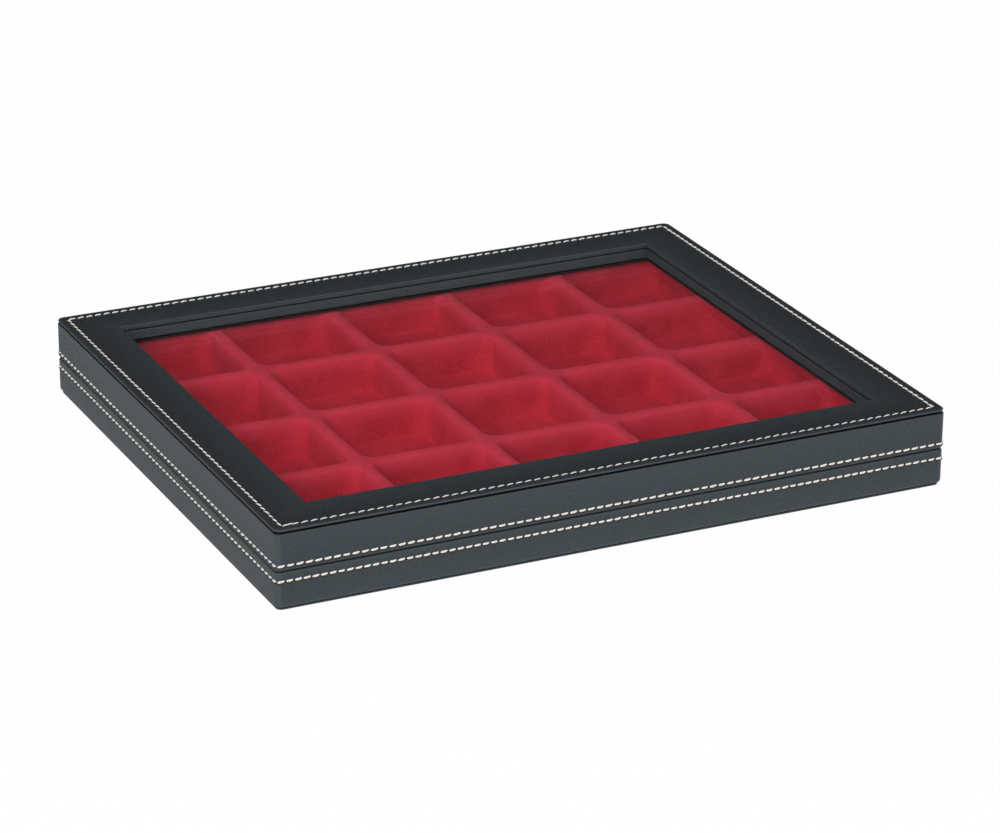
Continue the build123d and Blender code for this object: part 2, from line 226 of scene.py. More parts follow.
def make_flock(name, dark, light, sheen_tint, sheen, ridge_paint_from=0.0, ridge_paint_to=0.0, ridge_highlight_tone="#000000"):
    """Short pile; between two heights it fades to a paler tone, painted on the ridges as highlight and wear."""
    material, tree = new_material(name)
    place = add(tree, "ShaderNodeTexCoord").outputs["Object"]
    fibres = add(tree, "ShaderNodeTexNoise", Vector=place, Scale=1 / (0.9 * MM), Detail=4.0, Roughness=0.75)
    brushed = add(tree, "ShaderNodeTexNoise", Vector=place, Scale=1 / (14 * MM), Detail=2.0)
    mix = add(tree, "ShaderNodeMath", {"operation": "MULTIPLY_ADD"}, _0=fibres.outputs["Fac"], _1=0.65)
    weighed = add(tree, "ShaderNodeMath", {"operation": "MULTIPLY"}, _0=brushed.outputs["Fac"], _1=0.3)
    tree.links.new(weighed.outputs[0], mix.inputs[2])
    pile = add(tree, "ShaderNodeBump", Height=fibres.outputs["Fac"], Strength=0.6, Distance=0.15 * MM)
    colour = two_tone(tree, mix.outputs[0], dark, light, 0.31, 0.69)
    # Painted highlight, partly wear: the colour turns paler towards the given top height.
    if ridge_paint_to > ridge_paint_from:
        height = add(tree, "ShaderNodeSeparateXYZ", Vector=place).outputs["Z"]
        gloss_on_bends_light_on_ridges = add(tree, "ShaderNodeMapRange", {"interpolation_type": "SMOOTHSTEP"}, Value=height)
        gloss_on_bends_light_on_ridges.inputs["From Min"].default_value = ridge_paint_from
        gloss_on_bends_light_on_ridges.inputs["From Max"].default_value = ridge_paint_to
        gloss_on_bends_light_on_ridges.inputs["To Max"].default_value = 0.5
        colour = add(tree, "ShaderNodeMix", {"data_type": "RGBA"}, _0=gloss_on_bends_light_on_ridges.outputs[0], _6=colour, _7=linear(ridge_highlight_tone))
        colour = colour.outputs[2]
    shader = add(tree, "ShaderNodeBsdfPrincipled", Base_Color=colour)
    shader.inputs["Roughness"].default_value = 0.95
    shader.inputs["Specular IOR Level"].default_value = 0.15
    shader.inputs["Sheen Weight"].default_value = sheen
    shader.inputs["Sheen Roughness"].default_value = 0.5
    shader.inputs["Sheen Tint"].default_value = linear(sheen_tint)
    finish_material(tree, shader, pile.outputs["Normal"])
    return material


# The red tray's ridge tops get a painted highlight, partly wear: paler from nine millimetres below the top upward.
red_flock = make_flock(
    "red_rayon_flock", "#aa1426", "#e0384e", "#e05565", 0.12, TRAY_TOP - 9 * MM, TRAY_TOP, "#ec465d"
)
velour = make_flock("black_velour", "#131315", "#222225", "#6a6a70", 0.3)

# %% [markdown]
# ### Sewing thread
#
# Thick bonded polyester, cream. Two plies are twisted together, so each stitch has slanting bands; the colour is
# painted a little darker in the grooves between them, as painted shade. The bands follow the stitch's own length,
# which is why the stitches carry a UV map.

# %% Thread and painted stitch shadows


def make_thread():
    material, tree = new_material("cream_polyester_thread")
    along = add(tree, "ShaderNodeUVMap", {"uv_map": "thread"}).outputs["UV"]
    plies = add(tree, "ShaderNodeTexWave", {"bands_direction": "DIAGONAL"}, Vector=along, Scale=1.1, Distortion=0.0)
    fuzz_place = add(tree, "ShaderNodeTexCoord").outputs["Object"]
    fuzz = add(tree, "ShaderNodeTexNoise", Vector=fuzz_place, Scale=1 / (0.3 * MM), Detail=2.0)
    twist = add(tree, "ShaderNodeBump", Height=plies.outputs["Fac"], Strength=0.5, Distance=0.12 * MM)
    fray = add(tree, "ShaderNodeBump", Height=fuzz.outputs["Fac"], Strength=0.3, Distance=0.05 * MM)
    tree.links.new(twist.outputs["Normal"], fray.inputs["Normal"])
    # Painted shade: the cream darkens slightly along the grooves of the twist.
    colour = two_tone(tree, plies.outputs["Fac"], "#dedad1", "#faf8f3")
    shader = add(tree, "ShaderNodeBsdfPrincipled", Base_Color=colour, Roughness=0.6)
    shader.inputs["Sheen Weight"].default_value = 0.2
    finish_material(tree, shader, fray.outputs["Normal"])
    return material


def make_stitch_shadow():
    """A dark brown patch under each stitch: a painted shadow, with the brown of the pricked backing."""
    material, tree = new_material("painted_stitch_shadow")
    place = add(tree, "ShaderNodeTexCoord").outputs["Object"]
    rag = add(tree, "ShaderNodeTexNoise", Vector=place, Scale=1 / (0.3 * MM), Detail=2.0)
    colour = two_tone(tree, rag.outputs["Fac"], "#281c16", "#4a382d")
    finish_material(tree, add(tree, "ShaderNodeBsdfPrincipled", Base_Color=colour, Roughness=0.9))
    return material


thread = make_thread()
painted_stitch_shadow = make_stitch_shadow()

# %% [markdown]
# ### Pane, metal and wood
#
# The pane is clear cast acrylic. Glass in a path tracer throws a dark shadow unless lamps may pass through it, so
# shadow rays see it as transparent. The hinges are nickel-plated steel, the magnets polished nickel, and the hidden
# rails and board are medium-density fibreboard.

# %% Pane, metal and wood


def make_acrylic():
    material, tree = new_material("clear_cast_acrylic")
    clear = add(tree, "ShaderNodeBsdfPrincipled", Roughness=0.0, IOR=1.49)
    clear.inputs["Base Color"].default_value = linear("#fbfdfd")
    clear.inputs["Transmission Weight"].default_value = 1.0
    clear.inputs["Specular IOR Level"].default_value = 0.12
    lamps = add(tree, "ShaderNodeLightPath").outputs["Is Shadow Ray"]
    through = add(tree, "ShaderNodeBsdfTransparent")
    mixed = add(tree, "ShaderNodeMixShader", _0=lamps, _1=clear.outputs[0], _2=through.outputs[0])
    output = tree.nodes.new("ShaderNodeOutputMaterial")
    tree.links.new(mixed.outputs[0], output.inputs["Surface"])
    return material


def make_nickel(name, roughness):
    material, tree = new_material(name)
    place = add(tree, "ShaderNodeTexCoord").outputs["Object"]
    stretch = add(tree, "ShaderNodeMapping", Vector=place)
    stretch.inputs["Scale"].default_value = (60, 1, 1)
    lines = add(tree, "ShaderNodeTexNoise", Vector=stretch.outputs[0], Scale=1 / (6 * MM), Detail=3.0)
    wear = add(tree, "ShaderNodeMapRange", Value=lines.outputs["Fac"])
    wear.inputs["To Min"].default_value = roughness - 0.07
    wear.inputs["To Max"].default_value = roughness + 0.1
    brushed = add(tree, "ShaderNodeBump", Height=lines.outputs["Fac"], Strength=0.2, Distance=0.02 * MM)
    colour = two_tone(tree, lines.outputs["Fac"], "#9c9892", "#c9c5be")
    shader = add(tree, "ShaderNodeBsdfPrincipled", Base_Color=colour, Metallic=1.0, Roughness=wear.outputs[0])
    finish_material(tree, shader, brushed.outputs["Normal"])
    return material


def make_fibreboard():
    material, tree = new_material("medium_density_fibreboard")
    place = add(tree, "ShaderNodeTexCoord").outputs["Object"]
    specks = add(tree, "ShaderNodeTexNoise", Vector=place, Scale=1 / (0.8 * MM), Detail=5.0, Roughness=0.75)
    bump = add(tree, "ShaderNodeBump", Height=specks.outputs["Fac"], Strength=0.3, Distance=0.05 * MM)
    colour = two_tone(tree, specks.outputs["Fac"], "#7d5f40", "#b8966c")
    shader = add(tree, "ShaderNodeBsdfPrincipled", Base_Color=colour, Roughness=0.85)
    finish_material(tree, shader, bump.outputs["Normal"])
    return material


acrylic = make_acrylic()
hinge_nickel = make_nickel("nickel_plated_steel", 0.32)
magnet_nickel = make_nickel("polished_nickel", 0.18)
fibreboard = make_fibreboard()

# %% Give the carried-over solids their materials
NODE_MATERIALS = {
    "rail": fibreboard,
    "board": fibreboard,
    "collar": velour,
    "retainer": velour,
    "bed": velour,
    "pane_": acrylic,
    "magnet": magnet_nickel,
    "hinge": hinge_nickel,
    "cover": leatherette,
}


def material_for(node):
    if node == "window_pane":
        return acrylic
    return next(material for word, material in NODE_MATERIALS.items() if word in node)


DRESSED = ("coin_tray", "lid_top_frame", "lid_side_wrap", "base_side_wrap", "base_bottom_cover") + tuple(
    f"reveal_strip_{side}" for side in ("front", "back", "left", "right")
)
for node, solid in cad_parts.items():
    if node not in DRESSED:
        solid.data.materials.clear()
        solid.data.materials.append(material_for(node))
print(len(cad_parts) - len(DRESSED), "solids keep their mesh")

# %% [markdown]
# ## Sheet leatherette as a swept profile
#
# A side wrap is one profile carried round the case: down the outside, round the edges and in over the rim. So the
# profile is drawn once, as points of (distance inward, height), and swept round a rectangle with rounded corners.
# Rounded edges are quarter circles from a formula. The same sweep makes the top frame and the reveal strips.

# %% Profile helpers
CORNER_STEPS = 8
EDGE_STEPS = 6


def arc(centre, radius, start, end, steps=EDGE_STEPS):
    """Points of a circular arc in (inward, height), angles in degrees, with 0 pointing inward and 90 up."""
    points = []
    for step in range(steps + 1):
        angle = math.radians(start + (end - start) * step / steps)
        points.append((centre[0] + radius * math.cos(angle), centre[1] + radius * math.sin(angle)))
    return points


def stations(inward, corner):
    """Points round the case at a distance inward, with corners of a radius, anticlockwise from the front right."""
    radius = max(corner - inward, 0.02 * MM)
    points = []
    for quarter in range(4):
        sign_x = (1, 1, -1, -1)[quarter]
        sign_y = (-1, 1, 1, -1)[quarter]
        centre_x = sign_x * (HALF_X - inward - radius)
        centre_y = sign_y * (HALF_Y - inward - radius)
        for step in range(CORNER_STEPS + 1):
            angle = math.radians(-90 + 90 * quarter + 90 * step / CORNER_STEPS)
            points.append((centre_x + radius * math.cos(angle), centre_y + radius * math.sin(angle)))
    return points


def new_piece(name, mesh_data, material):
    """Links a mesh as an object with one material."""
    piece = bpy.data.objects.new(name, mesh_data)
    bpy.context.scene.collection.objects.link(piece)
    mesh_data.materials.clear()
    mesh_data.materials.append(material)
    return piece


def sweep(name, profile, corner, material):
    """Carries a closed profile round the case and returns the ring as an object."""
    loops = [stations(inward, corner) for inward, _ in profile]
    work = bmesh.new()
    grid = []
    for (_, height), loop in zip(profile, loops):
        grid.append([work.verts.new((x, y, height)) for x, y in loop])
    count = len(grid[0])
    for row, upper in zip(grid, grid[1:] + grid[:1]):
        for place in range(count):
            after = (place + 1) % count
            work.faces.new((row[place], row[after], upper[after], upper[place]))
    return finish_sweep(work, name, material)


def finish_sweep(work, name, material):
    """Cleans a swept mesh, marks its bends and seams in the edge attribute and makes it an object."""
    bmesh.ops.remove_doubles(work, verts=work.verts, dist=0.001 * MM)
    bmesh.ops.recalc_face_normals(work, faces=work.faces)
    bend = work.verts.layers.float.new("edge")
    for vert in work.verts:
        turn = max((edge.calc_face_angle_signed(0.0) for edge in vert.link_edges), key=abs, default=0.0)
        seam = turn < math.radians(-45)
        vert[bend] = -1.0 if seam else min(max(turn / math.radians(11), 0.0), 1.0)
    for face in work.faces:
        face.smooth = True
    data = bpy.data.meshes.new(name)
    work.to_mesh(data)
    work.free()
    return new_piece(name, data, material)


def plate(name, profile, corner, material):
    """A closed sheet over the plan of the case, whose edge follows an open profile."""
    work = bmesh.new()
    grid = [[work.verts.new((x, y, height)) for x, y in stations(inward, corner)] for inward, height in profile]
    count = len(grid[0])
    for row, upper in zip(grid, grid[1:]):
        for place in range(count):
            after = (place + 1) % count
            work.faces.new((row[place], row[after], upper[after], upper[place]))
    work.faces.new(grid[0])
    work.faces.new(grid[-1])
    return finish_sweep(work, name, material)


def keep_flats_flat(piece):
    """Lets rounded edges shade smoothly while large flat faces stay flat."""
    weigh = piece.modifiers.new("weigh", "WEIGHTED_NORMAL")
    weigh.keep_sharp = True
    weigh.weight = 90


def stitch_valley(depth, width, place, steps=4):
    """The shallow dip that a tight row of stitches pulls into the sheet, as (distance along, dip) pairs."""
    points = []
    for step in range(-steps, steps + 1):
        share = step / steps
        points.append((place + share * width / 2, depth * (0.5 + 0.5 * math.cos(math.pi * share))))
    return points


# %% [markdown]
# ## The side wraps
#
# Where the lid and the base meet, both wraps are rounded, which makes the dark groove in the photograph. Above and
# below the groove a row of stitches pulls the sheet in a little. At the top the lid's wrap is rounded again, under
# the top frame, and there lies the dark crease along the frame's edge. The same happens at the bottom, where the
# cover of the underside shows as a thin bead below a dark crease. Where the sheet turns sharply inward, as at the
# back of these slots, its colour is also painted near black, as painted shade.

# %% Side wraps
GROOVE_EDGE = 0.95 * MM
CREASE_EDGE = 0.3 * MM
CREASE_GAP = 0.45 * MM
CREASE_DEPTH = 2.2 * MM
UNDER_EDGE = 1.7 * MM
UNDER_GAP = 0.22 * MM
UNDER_DEPTH = 2.5 * MM
BEAD_IN = 0.9 * MM
BEAD_EDGE = 0.36 * MM
UNDER_CORNER = 3.6 * MM
WALL_CORNER = 2.6 * MM
VALLEY_DEPTH = 0.16 * MM
VALLEY_WIDTH = 2.5 * MM
LID_STITCH_UP = 2.77 * MM
BASE_STITCH_DOWN = 4.37 * MM
GROOVE_HEIGHT = (WRAP_LID_LOW + WRAP_BASE_HIGH) / 2
LID_STITCH_HEIGHT = GROOVE_HEIGHT + LID_STITCH_UP
BASE_STITCH_HEIGHT = GROOVE_HEIGHT - BASE_STITCH_DOWN
RIM_IN = COLLAR_OUT
LID_WALL_IN = COLLAR_OUT - 0.6 * MM
TURN_UP_TOP = PANE_LOW
TURN_OVER = 8 * MM
TURN_UNDER = 4.8 * MM


def lid_wrap_profile():
    top = FRAME_LOW
    low = WRAP_LID_LOW
    sheet = LEATHERETTE
    lip = top - CREASE_GAP
    profile = [(CREASE_DEPTH, top), (CREASE_DEPTH, lip), (CREASE_EDGE + 0.2 * MM, lip)]
    profile += arc((CREASE_EDGE, lip - CREASE_EDGE), CREASE_EDGE, 90, 180)
    valley = stitch_valley(VALLEY_DEPTH, VALLEY_WIDTH, LID_STITCH_HEIGHT)
    profile += [(dip, height) for height, dip in reversed(valley)]
    profile += arc((GROOVE_EDGE, low + GROOVE_EDGE), GROOVE_EDGE, 180, 270)
    profile += arc((LID_WALL_IN - sheet, low + sheet), sheet, 270, 360)
    profile += [(LID_WALL_IN, TURN_UP_TOP), (LID_WALL_IN - sheet, TURN_UP_TOP), (LID_WALL_IN - sheet, low + sheet)]
    profile += [(GROOVE_EDGE, low + sheet), (sheet, low + GROOVE_EDGE), (sheet, lip - sheet)]
    profile += [(TURN_OVER, lip - sheet), (TURN_OVER, top)]
    return profile


def base_wrap_profile():
    top = WRAP_BASE_HIGH
    low = WRAP_BASE_LOW
    sheet = LEATHERETTE
    profile = arc((GROOVE_EDGE, top - GROOVE_EDGE), GROOVE_EDGE, 90, 180)
    valley = stitch_valley(VALLEY_DEPTH, VALLEY_WIDTH, BASE_STITCH_HEIGHT)
    profile += [(dip, height) for height, dip in reversed(valley)]
    lip = low + UNDER_GAP
    profile += arc((UNDER_EDGE, lip + UNDER_EDGE), UNDER_EDGE, 180, 270)
    profile += [(UNDER_DEPTH, lip), (UNDER_DEPTH, low), (TURN_UNDER, low), (TURN_UNDER, lip + sheet)]
    profile += [(UNDER_EDGE, lip + sheet), (sheet, lip + UNDER_EDGE)]
    profile += [(sheet, top - GROOVE_EDGE), (GROOVE_EDGE, top - sheet), (RIM_IN, top - sheet), (RIM_IN, top)]
    return profile


def hinge_cutters():
    """One block and one cylinder round each hinge, the room that the leather is cut away to leave."""
    made = []
    for side in ("left", "right"):
        leaf_low, leaf_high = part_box(f"hinge_{side}_base_leaf")
        pin_low, pin_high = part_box(f"hinge_{side}_pin")
        lid_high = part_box(f"hinge_{side}_lid_leaf")[1]
        middle_x = (leaf_low[0] + leaf_high[0]) / 2
        axis = Vector((middle_x, (pin_low[1] + pin_high[1]) / 2, (pin_low[2] + pin_high[2]) / 2))
        work = bmesh.new()
        spare = 0.15 * MM
        size = Vector((leaf_high[0] - leaf_low[0] + 2 * spare, axis.y - leaf_low[1] + spare, 2.6 * MM))
        centre = Vector((middle_x, axis.y - size.y / 2, axis.z))
        bmesh.ops.create_cube(work, size=1, matrix=Matrix.Translation(centre) @ Matrix.Diagonal((*size, 1)))
        made.append(new_piece(f"cut_leaf_{side}", bpy.data.meshes.new("cut"), leatherette))
        work.to_mesh(made[-1].data)
        work.free()
        work = bmesh.new()
        length = pin_high[0] - pin_low[0] + 2 * spare
        lie_down = Matrix.Translation(axis) @ Matrix.Rotation(math.pi / 2, 4, "Y")
        bmesh.ops.create_cone(
            work, cap_ends=True, segments=32, radius1=1.8 * MM, radius2=1.8 * MM, depth=length, matrix=lie_down
        )
        made.append(new_piece(f"cut_barrel_{side}", bpy.data.meshes.new("cut"), leatherette))
        work.to_mesh(made[-1].data)
        work.free()
        print("hinge", side, "reaches up to", round(lid_high[2] / MM, 2), "mm")
    return made


def cut_away(piece, cutters):
    """Takes the cutters out of a piece and applies the result."""
    for cutter in cutters:
        cut = piece.modifiers.new("cut", "BOOLEAN")
        cut.operation = "DIFFERENCE"
        cut.solver = "EXACT"
        cut.object = cutter
    bake_modifiers(piece)


def bake_modifiers(piece):
    """Turns a piece with its modifiers into a plain mesh."""
    bpy.context.view_layer.update()
    depsgraph = bpy.context.evaluated_depsgraph_get()
    data = bpy.data.meshes.new_from_object(piece.evaluated_get(depsgraph))
    piece.modifiers.clear()
    piece.data = data
    return piece


lid_wrap = sweep("lid_side_leatherette", lid_wrap_profile(), WALL_CORNER, leatherette)
base_wrap = sweep("base_side_leatherette", base_wrap_profile(), WALL_CORNER, leatherette)
cutters = hinge_cutters()
for wrap in (lid_wrap, base_wrap):
    cut_away(wrap, cutters)
for cutter in cutters:
    bpy.data.objects.remove(cutter)
bead = arc((BEAD_IN + BEAD_EDGE, WRAP_BASE_LOW - BEAD_EDGE), BEAD_EDGE, 90, 180)
bead += arc((BEAD_IN + BEAD_EDGE, BEAD_EDGE), BEAD_EDGE, 180, 270)
bottom_cover = plate("bottom_leatherette", bead, UNDER_CORNER, leatherette)
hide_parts("base_bottom_cover")
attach(bottom_cover, "base")
keep_flats_flat(bottom_cover)
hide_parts("lid_side_wrap")
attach(lid_wrap, "lid")
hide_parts("base_side_wrap")
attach(base_wrap, "base")
for wrap in (lid_wrap, base_wrap):
    keep_flats_flat(wrap)
print("side wraps:", len(lid_wrap.data.polygons), "and", len(base_wrap.data.polygons), "faces")

# %% [markdown]
# ## The top frame and the reveal strips
#
# The frame is leatherette over thin board. Its edges are fully rounded, and the stitch row pulls a shallow dip into
# its top. The reveal strips are thin covered slats, rounded where they show, and they meet at square corners under
# the frame.

# %% Top frame and reveal strips
FRAME_EDGE = 0.5 * MM
FRAME_RISE = 0.55 * MM
FRAME_LIP = 0.6 * MM
FRAME_CORNER = 3.4 * MM
TOP_STITCH_IN = 4.2 * MM
TOP_VALLEY = 0.14 * MM
REVEAL_EDGE = 0.5 * MM
REVEAL_DROP = 1.25 * MM
REVEAL_SLOT = 1.0 * MM


def top_frame_profile():
    edge = FRAME_EDGE
    inner = FRAME_WIDTH
    under = FRAME_LOW + FRAME_RISE
    profile = [(CREASE_DEPTH, under)]
    profile += arc((edge, under + edge), edge, 270, 180)
    profile += arc((edge, FRAME_TOP - edge), edge, 180, 90)
    valley = stitch_valley(TOP_VALLEY, VALLEY_WIDTH, TOP_STITCH_IN)
    profile += [(place, FRAME_TOP - dip) for place, dip in valley]
    profile += arc((inner - edge, FRAME_TOP - edge), edge, 90, 0)
    lip = FRAME_LOW - FRAME_LIP
    profile += arc((inner - 0.3 * MM, lip + 0.3 * MM), 0.3 * MM, 0, -90, 3)
    profile += [(inner - REVEAL_THICK, lip), (inner - REVEAL_THICK, FRAME_LOW), (CREASE_DEPTH, FRAME_LOW)]
    return profile


def reveal_profile():
    edge = REVEAL_EDGE
    back = FRAME_WIDTH - REVEAL_THICK
    front = FRAME_WIDTH
    top = REVEAL_TOP - REVEAL_DROP
    profile = arc((front - edge, top - edge), edge, 90, 0)
    profile += arc((front - edge, REVEAL_LOW + edge), edge, 0, -90)
    lip = REVEAL_TOP - FRAME_LIP
    profile += [(back, REVEAL_LOW), (back, lip), (front - REVEAL_SLOT, lip), (front - REVEAL_SLOT, top)]
    return profile


top_frame = sweep("lid_top_leatherette", top_frame_profile(), FRAME_CORNER, leatherette)
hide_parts("lid_top_frame")
reveal = sweep("window_reveal_leatherette", reveal_profile(), FRAME_CORNER, leatherette)
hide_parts(*[f"reveal_strip_{side}" for side in ("front", "back", "left", "right")])
for piece in (top_frame, reveal):
    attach(piece, "lid")
    keep_flats_flat(piece)
print("top frame:", len(top_frame.data.polygons), "faces; reveal:", len(reveal.data.polygons))

# %% [markdown]
# ## The tray
#
# One cell repeats twenty times, so one tile is built and Geometry Nodes sets it on a grid. The tile is a stack of
# loops: from the square of the ridge, over the rounded lip, down the slanting wall, round the floor's edge and in to
# the middle. Each loop is a square with rounded corners, so all loops have the same number of points.

# %% One cell of the tray
CELL_PITCH = 60.6 * MM
CELL_MOUTH = 54.2 * MM
CELL_DEPTH = 18.1 * MM
CELL_DRAFT = math.radians(7)
MOUTH_CORNER = 6 * MM
FLOOR_CORNER = 10 * MM
FLOOR_ROUND = 2.8 * MM
RIDGE_ROUND = 2.6 * MM
SIDE_STEPS = 6
CELLS_ALONG = 5
CELLS_DEEP = 4
SHEET = 1.0 * MM
FLOOR_Z = TRAY_TOP - CELL_DEPTH


def rounded_square(half, corner, height):
    """A square loop with rounded corners; the number of points never changes."""
    points = []
    steps = 6
    for quarter in range(4):
        start = math.radians(-90 + 90 * quarter)
        sign_x = (1, 1, -1, -1)[quarter]
        sign_y = (-1, 1, 1, -1)[quarter]
        centre = (sign_x * (half - corner), sign_y * (half - corner))
        for step in range(steps + 1):
            angle = start + math.radians(90) * step / steps
            points.append((centre[0] + corner * math.cos(angle), centre[1] + corner * math.sin(angle), height))
        after_x = (1, -1, -1, 1)[quarter] * (half - corner)
        after_y = (1, 1, -1, -1)[quarter] * (half - corner)
        last = points[-1]
        target = (
            (half, after_y, height) if quarter == 0 else
            (after_x, half, height) if quarter == 1 else
            (-half, after_y, height) if quarter == 2 else
            (after_x, -half, height)
        )
        for step in range(1, SIDE_STEPS):
            share = step / SIDE_STEPS
            points.append(tuple(a + (b - a) * share for a, b in zip(last, target)))
    return points


def cell_loops():
    """The loops of one cell from the ridge down to the floor, as (half size, corner, height)."""
    slope = math.tan(CELL_DRAFT)
    lean = math.degrees(CELL_DRAFT)
    half = CELL_MOUTH / 2
    loops = [(CELL_PITCH / 2, 0.0, TRAY_TOP)]
    lip_out = half + RIDGE_ROUND * (1 / math.cos(CELL_DRAFT) - slope)
    for step in range(EDGE_STEPS + 1):
        angle = math.radians(90 + (90 - lean) * step / EDGE_STEPS)
        reach = lip_out + RIDGE_ROUND * math.cos(angle)
        height = TRAY_TOP - RIDGE_ROUND + RIDGE_ROUND * math.sin(angle)
        loops.append((reach, MOUTH_CORNER + (reach - half), height))
    floor_half = half - CELL_DEPTH * slope
    foot = floor_half - FLOOR_ROUND * (1 / math.cos(CELL_DRAFT) - slope)
    upper = loops[-1]
    lower_reach = foot + FLOOR_ROUND * math.cos(math.radians(-lean))
    lower_height = FLOOR_Z + FLOOR_ROUND + FLOOR_ROUND * math.sin(math.radians(-lean))
    for share in (0.33, 0.67):
        corner = upper[1] + (FLOOR_CORNER - upper[1]) * share
        loops.append((upper[0] + (lower_reach - upper[0]) * share, corner, upper[2] + (lower_height - upper[2]) * share))
    for step in range(EDGE_STEPS + 1):
        angle = math.radians(-lean - (90 - lean) * step / EDGE_STEPS)
        reach = foot + FLOOR_ROUND * math.cos(angle)
        corner = max(FLOOR_CORNER + (reach - lower_reach), 0.8 * MM)
        loops.append((reach, corner, FLOOR_Z + FLOOR_ROUND + FLOOR_ROUND * math.sin(angle)))
    loops.append((0.5 * foot, 0.5 * MM, FLOOR_Z))
    return loops


def make_cell_tile():
    work = bmesh.new()
    rows = [[work.verts.new(point) for point in rounded_square(*loop)] for loop in cell_loops()]
    count = len(rows[0])
    for upper, lower in zip(rows, rows[1:]):
        for place in range(count):
            after = (place + 1) % count
            work.faces.new((upper[place], upper[after], lower[after], lower[place]))
    centre = work.verts.new((0, 0, FLOOR_Z))
    for place in range(count):
        work.faces.new((rows[-1][place], rows[-1][(place + 1) % count], centre))
    bmesh.ops.remove_doubles(work, verts=work.verts, dist=0.001 * MM)
    for face in work.faces:
        face.smooth = True
    data = bpy.data.meshes.new("cell_tile")
    work.to_mesh(data)
    work.free()
    return new_piece("cell_tile", data, red_flock)


cell_tile = make_cell_tile()
print("one cell has", len(cell_tile.data.polygons), "faces")

# %% [markdown]
# The node tree takes the tile, sets it on a grid with the tray's pitch, makes the copies real and welds their
# borders, so that the ridges are one unbroken sheet. Its numbers are inputs, so another tray needs no new tree.

# %% Geometry Nodes: tiles on a grid


def new_tree(name, inputs):
    """A Geometry Nodes tree with named inputs, and its input and output nodes."""
    tree = bpy.data.node_groups.new(name, "GeometryNodeTree")
    tree.interface.new_socket("Geometry", in_out="INPUT", socket_type="NodeSocketGeometry")
    for label, kind in inputs.items():
        tree.interface.new_socket(label, in_out="INPUT", socket_type=kind)
    tree.interface.new_socket("Geometry", in_out="OUTPUT", socket_type="NodeSocketGeometry")
    return tree, tree.nodes.new("NodeGroupInput"), tree.nodes.new("NodeGroupOutput")


def run_tree(name, tree, values):
    """Runs a tree on an empty mesh and returns the result as a plain mesh object."""
    holder = bpy.data.objects.new(name, bpy.data.meshes.new(name))
    bpy.context.scene.collection.objects.link(holder)
    modifier = holder.modifiers.new("nodes", "NODES")
    modifier.node_group = tree
    for item in tree.interface.items_tree:
        if item.item_type == "SOCKET" and item.in_out == "INPUT" and item.name in values:
            modifier[item.identifier] = values[item.name]
    return bake_modifiers(holder)


def grid_tree():
    inputs = {
        "Tile": "NodeSocketObject",
        "Pitch": "NodeSocketFloat",
        "Along": "NodeSocketInt",
        "Deep": "NodeSocketInt",
        "Material": "NodeSocketMaterial",
    }
    tree, given, result = new_tree("tiles_on_a_grid", inputs)
    span_x = add(tree, "ShaderNodeMath", {"operation": "MULTIPLY_ADD"}, _0=given.outputs["Along"])
    span_y = add(tree, "ShaderNodeMath", {"operation": "MULTIPLY_ADD"}, _0=given.outputs["Deep"])
    less = add(tree, "ShaderNodeMath", {"operation": "MULTIPLY"}, _0=given.outputs["Pitch"], _1=-1.0)
    for span in (span_x, span_y):
        tree.links.new(given.outputs["Pitch"], span.inputs[1])
        tree.links.new(less.outputs[0], span.inputs[2])
    grid = add(
        tree, "GeometryNodeMeshGrid", Size_X=span_x.outputs[0], Size_Y=span_y.outputs[0],
        Vertices_X=given.outputs["Along"], Vertices_Y=given.outputs["Deep"],
    )
    tile = add(tree, "GeometryNodeObjectInfo", Object=given.outputs["Tile"])
    copies = add(tree, "GeometryNodeInstanceOnPoints", Points=grid.outputs["Mesh"], Instance=tile.outputs["Geometry"])
    real = add(tree, "GeometryNodeRealizeInstances", Geometry=copies.outputs[0])
    weld = add(tree, "GeometryNodeMergeByDistance", Geometry=real.outputs[0], Distance=0.02 * MM)
    paint = add(tree, "GeometryNodeSetMaterial", Geometry=weld.outputs[0], Material=given.outputs["Material"])
    tree.links.new(paint.outputs[0], result.inputs[0])
    return tree


tray = run_tree(
    "flocked_coin_tray", grid_tree(),
    {"Tile": cell_tile, "Pitch": CELL_PITCH, "Along": CELLS_ALONG, "Deep": CELLS_DEEP, "Material": red_flock},
)
bpy.data.objects.remove(cell_tile)
print("tray grid:", len(tray.data.polygons), "faces")

# %% [markdown]
# The grid stops at the outer ridges' middle. The rim goes on from its border: out level to the tray's edge, over a
# rounded shoulder and down the skirt. Solidify then gives the sheet its thickness downwards.

# %% Rim, skirt and thickness
RIM_ROUND = 2.2 * MM
RIM_CORNER = 4 * MM


def rim_point(x, y, half, grown):
    """Moves a border point from the grid's outline to a larger one with rounded corners."""
    x *= grown[0] / half[0]
    y *= grown[1] / half[1]
    over_x = abs(x) - (grown[0] - RIM_CORNER)
    over_y = abs(y) - (grown[1] - RIM_CORNER)
    if over_x > 0 and over_y > 0:
        reach = max(over_x, over_y) / math.hypot(over_x, over_y)
        x = math.copysign(grown[0] - RIM_CORNER + over_x * reach, x)
        y = math.copysign(grown[1] - RIM_CORNER + over_y * reach, y)
    return x, y


